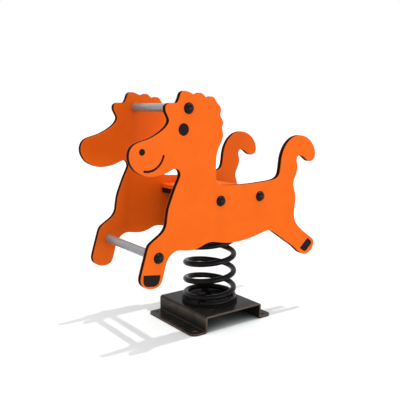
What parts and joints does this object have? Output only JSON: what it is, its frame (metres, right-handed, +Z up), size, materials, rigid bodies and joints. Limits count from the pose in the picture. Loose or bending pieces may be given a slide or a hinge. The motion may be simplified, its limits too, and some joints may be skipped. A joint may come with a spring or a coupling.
{
  "type": "spring rider",
  "caption": "Playground spring rider: animal-shaped side panels with a seat, handle bar and foot bar between them, on a coil spring that rocks and sways above a bolt-down steel base.",
  "frame": {"origin": "on the ground, on the axis of the spring, in the middle of the anchor holes", "axes": "+Z up; the animal looks along -X; its left side is -Y and its right side +Y"},
  "size_m": [0.8087, 0.386, 0.8374],
  "materials": {
    "orange_board": "satin",
    "black_core": "satin",
    "coated_steel": "satin",
    "spring_coat": "satin",
    "black_tube": "satin",
    "bar_steel": "satin",
    "zinc": "satin",
    "black_iron": "matte",
    "brass_insert": "satin",
    "cover_plastic": "gloss"
  },
  "bodies": {
    "base": {"base_channel": "coated_steel", "foot_plate": "black_iron", "lower_clamps": "black_iron", "lower_clamp_bolts": "black_iron", "lower_clamp_washers": "black_iron", "lower_clamp_nuts": "black_iron"},
    "spring": {"coil_spring": "spring_coat"},
    "rider": {"spring_plate": "black_tube", "upper_clamps": "black_iron", "upper_clamp_bolts": "black_iron", "upper_clamp_washers": "black_iron", "upper_clamp_nuts": "black_iron", "front_cross_tube": "black_tube", "rear_cross_tube": "black_tube", "cross_tube_plugs": "zinc", "seat_board": "orange_board", "seat_inserts": "brass_insert", "seat_screws": "black_iron", "handle_bar": "bar_steel", "handle_bar_plugs": "zinc", "foot_bar": "bar_steel", "foot_bar_plugs": "zinc", "left_panel_core": "black_core", "left_outer_face": "orange_board", "left_inner_face": "orange_board", "right_panel_core": "black_core", "right_outer_face": "orange_board", "right_inner_face": "orange_board", "left_panel_bolts": "zinc", "right_panel_bolts": "zinc", "left_cover_bases": "cover_plastic", "right_cover_bases": "cover_plastic", "left_bolt_covers": "cover_plastic", "right_bolt_covers": "cover_plastic"}
  },
  "joints": [
    {"name": "rock", "type": "hinge", "parent": "base", "child": "spring", "pos_m": [0, 0, 0.1825], "axis": [0, 1, 0], "range_deg": [-20, 20], "stiffness_Nm_per_rad": 560, "springref_deg": 1.1, "deforming": ["coil_spring"]},
    {"name": "sway", "type": "hinge", "parent": "spring", "child": "rider", "pos_m": [0, 0, 0.3425], "axis": [1, 0, 0], "range_deg": [-12, 12], "stiffness_Nm_per_rad": 560, "deforming": ["coil_spring"]}
  ]
}
